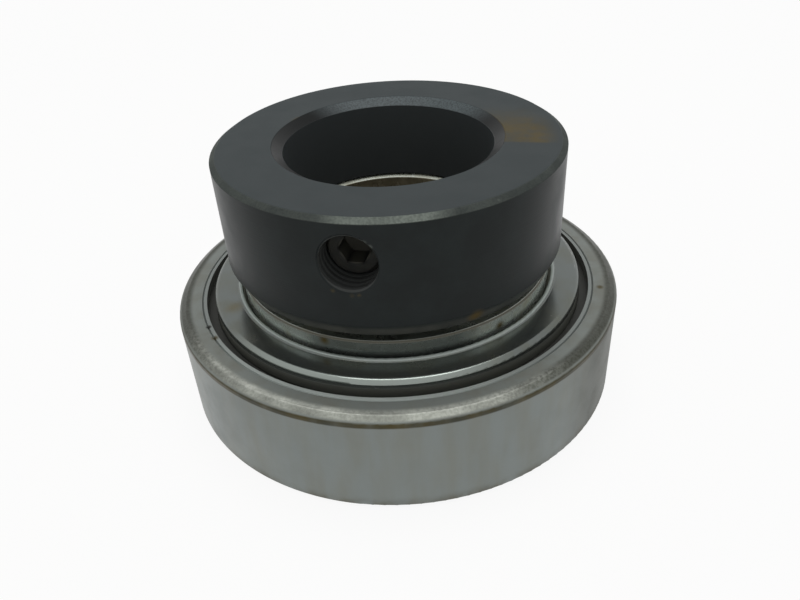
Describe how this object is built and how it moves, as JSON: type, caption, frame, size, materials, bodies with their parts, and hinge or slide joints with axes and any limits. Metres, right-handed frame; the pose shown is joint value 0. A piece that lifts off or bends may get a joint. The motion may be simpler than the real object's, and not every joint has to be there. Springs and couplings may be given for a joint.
{
  "type": "insert bearing",
  "caption": "Sealed insert ball bearing with a straight outer ring, a narrow inner ring and a black eccentric locking collar with a set screw.",
  "frame": {"origin": "middle of the outer ring's back face, on the shaft axis, where the bearing stands", "axes": "+Z along the shaft axis from the back face to the locking collar; -Y the way the set screw points at rest"},
  "size_m": [0.072, 0.072, 0.0411],
  "materials": {
    "ground_ring_steel": "ground and oiled, satin, rusty at the corners",
    "inner_ring_steel": "ground land, oily brown bore",
    "black_oxide_steel": "turned and black oxide coated, satin, worn edges",
    "screw_steel": "black oxide, oily",
    "cage_steel": "pressed sheet, satin",
    "seal_plate_steel": "pressed sheet, smooth and shiny",
    "seal_cap_steel": "pressed sheet, satin",
    "seal_rubber": "moulded, matt black",
    "ball_steel": "polished"
  },
  "bodies": {
    "outer": {"outer_ring": "ground_ring_steel", "front_seal_shroud": "seal_plate_steel", "front_seal_washer": "seal_rubber", "front_seal_cap": "seal_cap_steel", "rear_seal_shroud": "seal_plate_steel", "rear_seal_washer": "seal_rubber", "rear_seal_cap": "seal_cap_steel"},
    "inner": {"inner_ring": "inner_ring_steel"},
    "cage": {"cage_front_half": "cage_steel", "cage_rear_half": "cage_steel", "cage_rivets": "cage_steel"},
    "collar": {"locking_collar": "black_oxide_steel"},
    "screw": {"set_screw": "screw_steel"},
    "ball_1": {"ball_1": "ball_steel"},
    "ball_2": {"ball_2": "ball_steel"},
    "ball_3": {"ball_3": "ball_steel"},
    "ball_4": {"ball_4": "ball_steel"},
    "ball_5": {"ball_5": "ball_steel"},
    "ball_6": {"ball_6": "ball_steel"},
    "ball_7": {"ball_7": "ball_steel"},
    "ball_8": {"ball_8": "ball_steel"},
    "ball_9": {"ball_9": "ball_steel"}
  },
  "joints": [
    {"name": "inner_ring_spin", "type": "hinge", "parent": "outer", "child": "inner", "pos_m": [0, 0, 0.0085], "axis": [0, 0, 1], "continuous": true},
    {"name": "cage_spin", "type": "hinge", "parent": "outer", "child": "cage", "pos_m": [0, 0, 0.0085], "axis": [0, 0, 1], "continuous": true},
    {"name": "collar_turn", "type": "hinge", "parent": "inner", "child": "collar", "pos_m": [0, 0, 0.03], "axis": [0, 0, 1], "range_deg": [-20, 20]},
    {"name": "set_screw_travel", "type": "slide", "parent": "collar", "child": "screw", "axis": [0, -1, 0], "range_m": [-0.00042, 0.004]},
    {"name": "ball_1_spin", "type": "hinge", "parent": "cage", "child": "ball_1", "pos_m": [0, 0.02675, 0.0085], "axis": [0, 0, 1], "continuous": true},
    {"name": "ball_2_spin", "type": "hinge", "parent": "cage", "child": "ball_2", "pos_m": [-0.01719, 0.02049, 0.0085], "axis": [0, 0, 1], "continuous": true},
    {"name": "ball_3_spin", "type": "hinge", "parent": "cage", "child": "ball_3", "pos_m": [-0.02634, 0.00465, 0.0085], "axis": [0, 0, 1], "continuous": true},
    {"name": "ball_4_spin", "type": "hinge", "parent": "cage", "child": "ball_4", "pos_m": [-0.02317, -0.01337, 0.0085], "axis": [0, 0, 1], "continuous": true},
    {"name": "ball_5_spin", "type": "hinge", "parent": "cage", "child": "ball_5", "pos_m": [-0.00915, -0.02514, 0.0085], "axis": [0, 0, 1], "continuous": true},
    {"name": "ball_6_spin", "type": "hinge", "parent": "cage", "child": "ball_6", "pos_m": [0.00915, -0.02514, 0.0085], "axis": [0, 0, 1], "continuous": true},
    {"name": "ball_7_spin", "type": "hinge", "parent": "cage", "child": "ball_7", "pos_m": [0.02317, -0.01337, 0.0085], "axis": [0, 0, 1], "continuous": true},
    {"name": "ball_8_spin", "type": "hinge", "parent": "cage", "child": "ball_8", "pos_m": [0.02634, 0.00465, 0.0085], "axis": [0, 0, 1], "continuous": true},
    {"name": "ball_9_spin", "type": "hinge", "parent": "cage", "child": "ball_9", "pos_m": [0.01719, 0.02049, 0.0085], "axis": [0, 0, 1], "continuous": true}
  ],
  "couplings": [
    {"joint": "cage_spin", "follows": "inner_ring_spin", "ratio": 0.39615},
    {"joint": "ball_1_spin", "follows": "inner_ring_spin", "ratio": -2.3035},
    {"joint": "ball_2_spin", "follows": "inner_ring_spin", "ratio": -2.3035},
    {"joint": "ball_3_spin", "follows": "inner_ring_spin", "ratio": -2.3035},
    {"joint": "ball_4_spin", "follows": "inner_ring_spin", "ratio": -2.3035},
    {"joint": "ball_5_spin", "follows": "inner_ring_spin", "ratio": -2.3035},
    {"joint": "ball_6_spin", "follows": "inner_ring_spin", "ratio": -2.3035},
    {"joint": "ball_7_spin", "follows": "inner_ring_spin", "ratio": -2.3035},
    {"joint": "ball_8_spin", "follows": "inner_ring_spin", "ratio": -2.3035},
    {"joint": "ball_9_spin", "follows": "inner_ring_spin", "ratio": -2.3035}
  ]
}
